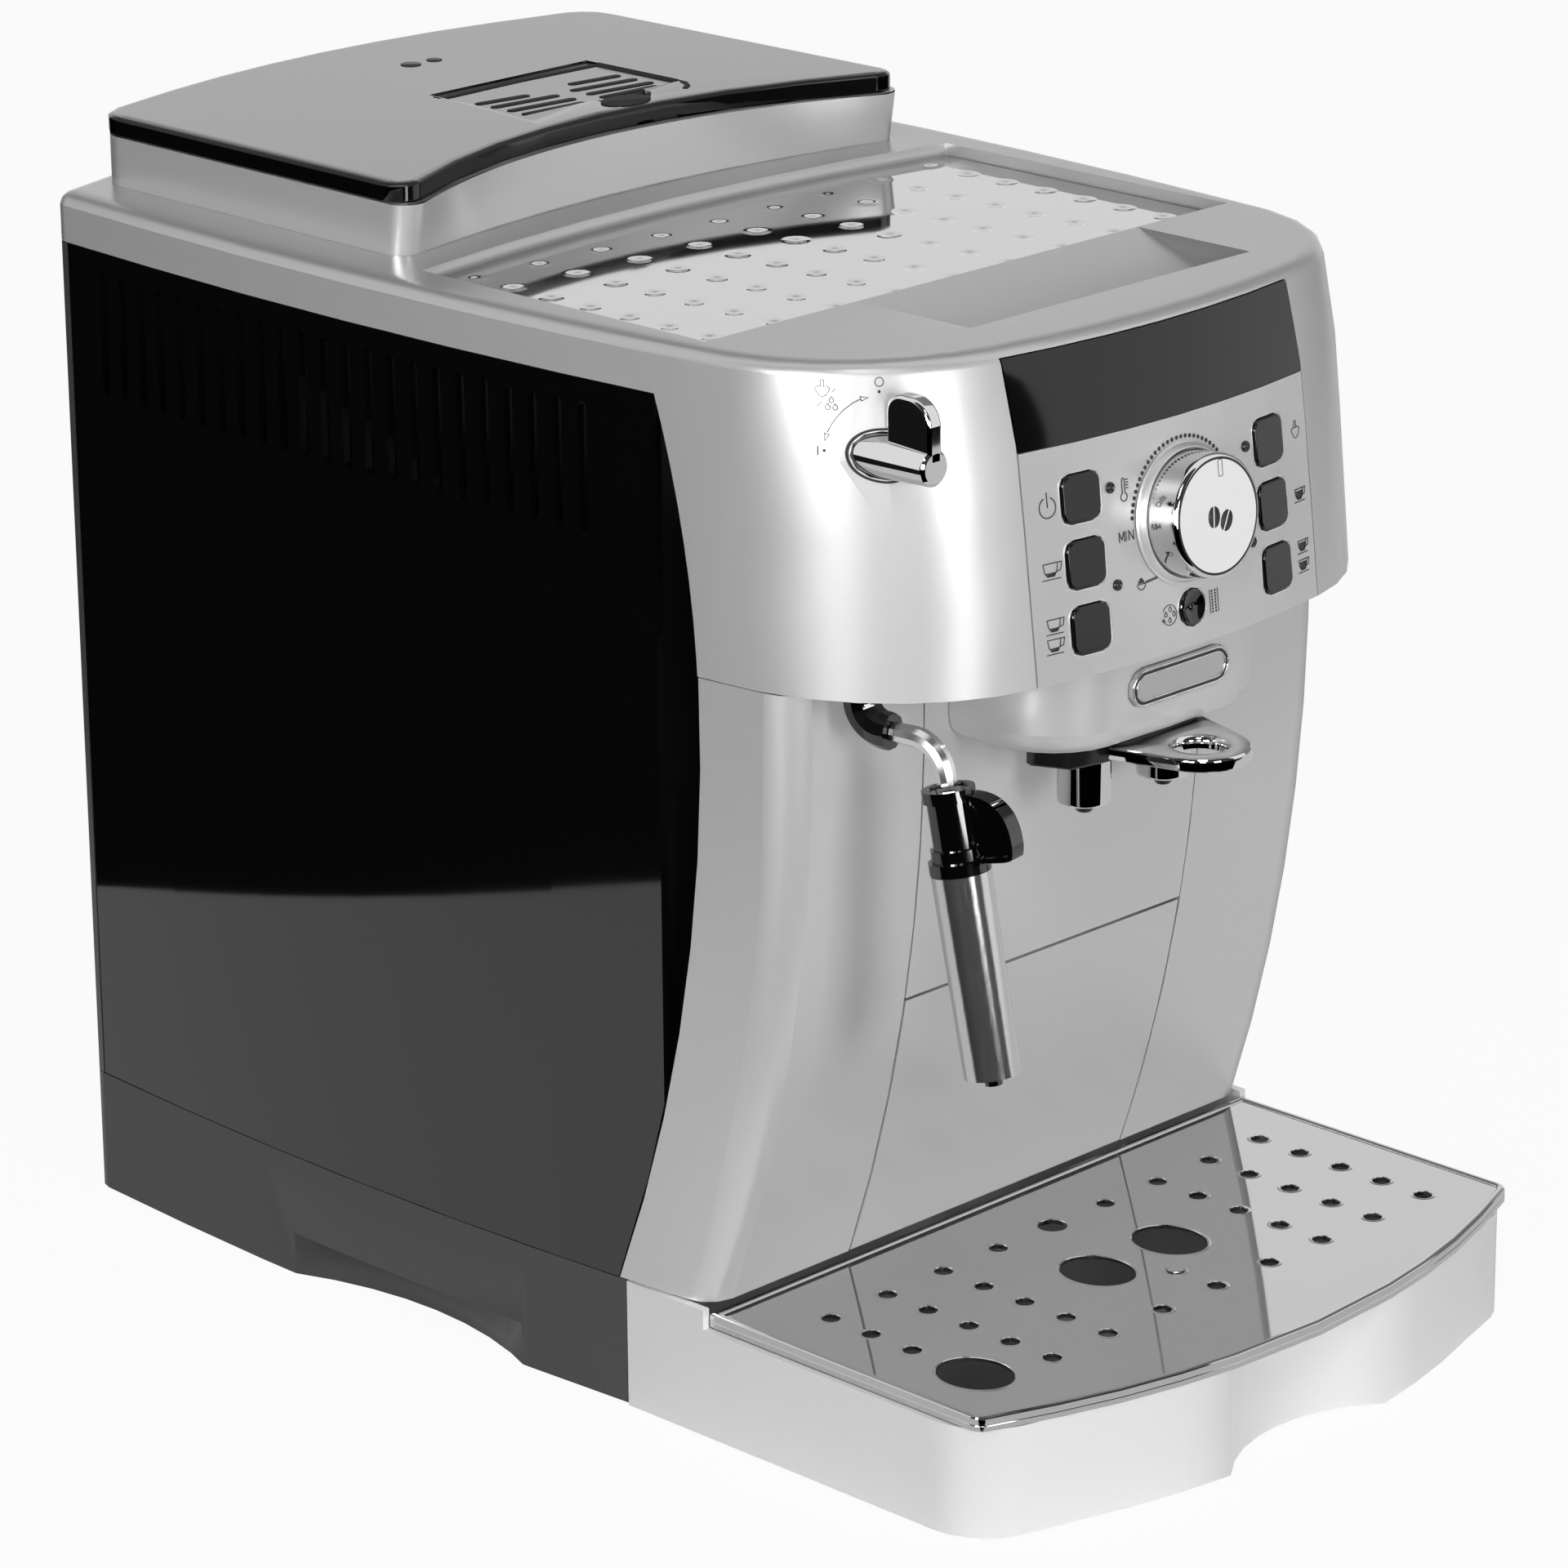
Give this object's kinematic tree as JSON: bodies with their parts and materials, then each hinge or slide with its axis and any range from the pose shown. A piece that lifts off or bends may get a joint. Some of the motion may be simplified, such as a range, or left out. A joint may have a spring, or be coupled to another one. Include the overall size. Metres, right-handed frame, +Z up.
{
  "type": "bean to cup coffee machine",
  "caption": "Countertop bean to cup coffee machine with a bowed head, dial and push buttons, height-adjustable spout, swivelling steam wand, drip tray and bean hopper.",
  "frame": {"origin": "middle of the overall width and depth, on the surface that the feet stand on", "axes": "+Z up, the control panel faces -Y, +X is to the right as seen from the front"},
  "size_m": [0.2496, 0.427, 0.3493],
  "materials": {
    "silver_paint": "pearl silver paint, satin",
    "gloss_black": "polished black",
    "dark_plastic": "fine satin grain",
    "mirror_steel": "polished sheet steel",
    "chrome": "mirror plated",
    "brushed_steel": "brushed",
    "rubber": "matt",
    "white_plastic": "satin",
    "clear_plastic": "smoked clear plastic",
    "green_board": "circuit board",
    "light_lens": "smoked lens",
    "burr_steel": "hardened, ground"
  },
  "bodies": {
    "machine": {"base": "dark_plastic", "foot_1": "rubber", "foot_2": "rubber", "foot_3": "rubber", "foot_4": "rubber", "left_side_panel": "gloss_black", "right_side_panel": "gloss_black", "rear_panel": "dark_plastic", "power_inlet": "dark_plastic", "upper_housing": "silver_paint", "cup_plate": "mirror_steel", "control_fascia": "silver_paint", "display_window": "gloss_black", "indicator_lights_left": "light_lens", "indicator_lights_right": "light_lens", "knob_ring": "silver_paint", "control_board": "green_board", "steam_valve": "dark_plastic", "head_chin": "silver_paint", "badge_plate": "mirror_steel", "left_cheek": "silver_paint", "right_cheek": "silver_paint", "front_panel": "silver_paint", "bean_hopper": "silver_paint", "chassis_frame": "dark_plastic", "grinder_housing": "dark_plastic", "grinder_motor": "brushed_steel", "brew_unit": "dark_plastic", "boiler": "brushed_steel", "water_pump": "dark_plastic", "power_board": "green_board"},
    "drip_tray": {"drip_tray": "silver_paint", "drip_grid": "mirror_steel"},
    "grounds_container": {"grounds_container": "silver_paint"},
    "tray_float": {"tray_float": "mirror_steel"},
    "coffee_spout": {"spout_carriage": "gloss_black", "cup_ring_frame": "chrome", "coffee_outlet_left": "chrome", "coffee_outlet_right": "chrome"},
    "steam_lever": {"steam_lever": "chrome"},
    "steam_wand": {"wand_elbow": "gloss_black", "wand_tube": "brushed_steel", "wand_grip": "gloss_black", "frother_sleeve": "brushed_steel", "steam_nozzle": "gloss_black"},
    "volume_knob": {"volume_knob": "chrome"},
    "rinse_button": {"rinse_button": "gloss_black"},
    "hopper_lid": {"hopper_lid": "gloss_black"},
    "funnel_flap": {"funnel_flap": "gloss_black"},
    "water_tank": {"water_tank": "clear_plastic"},
    "power_rocker": {"power_rocker": "gloss_black"},
    "grind_adjuster": {"grind_adjuster": "dark_plastic"},
    "grinder_burr": {"grinder_burr": "burr_steel"},
    "brew_piston": {"brew_piston": "white_plastic"},
    "button_left_1": {"button_left_1": "gloss_black"},
    "button_right_1": {"button_right_1": "gloss_black"},
    "button_left_2": {"button_left_2": "gloss_black"},
    "button_right_2": {"button_right_2": "gloss_black"},
    "button_left_3": {"button_left_3": "gloss_black"},
    "button_right_3": {"button_right_3": "gloss_black"}
  },
  "joints": [
    {"name": "tray_slide", "type": "slide", "parent": "machine", "child": "drip_tray", "axis": [0, -1, 0], "range_m": [0, 0.16]},
    {"name": "container_slide", "type": "slide", "parent": "drip_tray", "child": "grounds_container", "axis": [0, -1, 0], "range_m": [0, 0.068]},
    {"name": "float_rise", "type": "slide", "parent": "drip_tray", "child": "tray_float", "axis": [0, 0, 1], "range_m": [0, 0.008]},
    {"name": "spout_height", "type": "slide", "parent": "machine", "child": "coffee_spout", "axis": [0, 0, -1], "range_m": [0, 0.05]},
    {"name": "steam_lever_turn", "type": "hinge", "parent": "machine", "child": "steam_lever", "pos_m": [-0.095, -0.1321, 0.3022], "axis": [0, -1, 0], "range_deg": [0, 90]},
    {"name": "wand_swivel", "type": "hinge", "parent": "machine", "child": "steam_wand", "pos_m": [-0.0955, -0.1225, 0.2325], "axis": [0, 0, 1], "range_deg": [-60, 10]},
    {"name": "knob_turn", "type": "hinge", "parent": "machine", "child": "volume_knob", "pos_m": [0, -0.15771, 0.2709], "axis": [0, -0.9932, 0.1162], "range_deg": [-150, 60]},
    {"name": "rinse_button_push", "type": "slide", "parent": "machine", "child": "rinse_button", "axis": [0, 0.9932, -0.1162], "range_m": [0, 0.0012], "stiffness_N_per_m": 300, "springref_m": -0.001},
    {"name": "button_left_1_push", "type": "slide", "parent": "machine", "child": "button_left_1", "axis": [0.1166, 0.9864, -0.1162], "range_m": [0, 0.0012], "stiffness_N_per_m": 300, "springref_m": -0.001},
    {"name": "button_right_1_push", "type": "slide", "parent": "machine", "child": "button_right_1", "axis": [-0.1166, 0.9864, -0.1162], "range_m": [0, 0.0012], "stiffness_N_per_m": 300, "springref_m": -0.001},
    {"name": "button_left_2_push", "type": "slide", "parent": "machine", "child": "button_left_2", "axis": [0.1166, 0.9864, -0.1162], "range_m": [0, 0.0012], "stiffness_N_per_m": 300, "springref_m": -0.001},
    {"name": "button_right_2_push", "type": "slide", "parent": "machine", "child": "button_right_2", "axis": [-0.1166, 0.9864, -0.1162], "range_m": [0, 0.0012], "stiffness_N_per_m": 300, "springref_m": -0.001},
    {"name": "button_left_3_push", "type": "slide", "parent": "machine", "child": "button_left_3", "axis": [0.1166, 0.9864, -0.1162], "range_m": [0, 0.0012], "stiffness_N_per_m": 300, "springref_m": -0.001},
    {"name": "button_right_3_push", "type": "slide", "parent": "machine", "child": "button_right_3", "axis": [-0.1166, 0.9864, -0.1162], "range_m": [0, 0.0012], "stiffness_N_per_m": 300, "springref_m": -0.001},
    {"name": "lid_lift", "type": "slide", "parent": "machine", "child": "hopper_lid", "axis": [0, 0, 1], "range_m": [0, 0.06]},
    {"name": "flap_turn", "type": "hinge", "parent": "hopper_lid", "child": "funnel_flap", "pos_m": [0, 0.135, 0.3486], "axis": [-1, 0, 0], "range_deg": [0, 95]},
    {"name": "tank_slide", "type": "slide", "parent": "machine", "child": "water_tank", "axis": [1, 0, 0], "range_m": [0, 0.09]},
    {"name": "rocker_turn", "type": "hinge", "parent": "machine", "child": "power_rocker", "pos_m": [-0.0145, 0.2069, 0.08], "axis": [1, 0, 0], "range_deg": [-7, 7]},
    {"name": "grind_setting", "type": "hinge", "parent": "machine", "child": "grind_adjuster", "pos_m": [-0.052, 0.13, 0.335], "axis": [0, 0, 1], "range_deg": [0, 180]},
    {"name": "burr_spin", "type": "hinge", "parent": "machine", "child": "grinder_burr", "pos_m": [0.0025, 0.13, 0.24], "axis": [0, 0, 1], "continuous": true},
    {"name": "piston_press", "type": "slide", "parent": "machine", "child": "brew_piston", "axis": [0, 0, -1], "range_m": [0, 0.015]}
  ]
}
